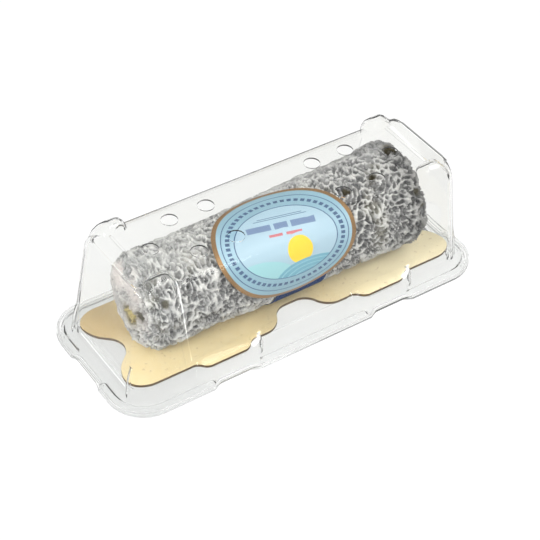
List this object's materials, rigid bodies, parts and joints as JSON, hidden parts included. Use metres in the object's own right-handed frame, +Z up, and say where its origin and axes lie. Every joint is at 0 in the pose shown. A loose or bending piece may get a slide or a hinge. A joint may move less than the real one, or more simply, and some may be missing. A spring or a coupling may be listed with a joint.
{
  "type": "ash-coated goat cheese log in a clear pack",
  "caption": "Ash-coated goat cheese log with a straw through it and an oval label on a paper band, lying on a gold card in a shut clear pack with a vented lid.",
  "frame": {"origin": "on the table, under the middle of the pack", "axes": "+X along the log towards its thicker end, +Z up, -Y towards the side the label faces"},
  "size_m": [0.1898, 0.0744, 0.0596],
  "materials": {
    "tray": "clear thin thermoformed plastic",
    "lid": "clear thin thermoformed plastic",
    "board": "gold-coloured laminated card, satin",
    "cheese": "dry wrinkled ash rind, matt",
    "straw": "natural cereal straw",
    "band": "dark blue coated paper",
    "label": "pale blue coated paper with a gold-brown border"
  },
  "bodies": {
    "root": {"tray": "tray", "lid": "lid", "board": "board", "cheese": "cheese", "straw": "straw", "band": "band", "label": "label"}
  },
  "joints": []
}
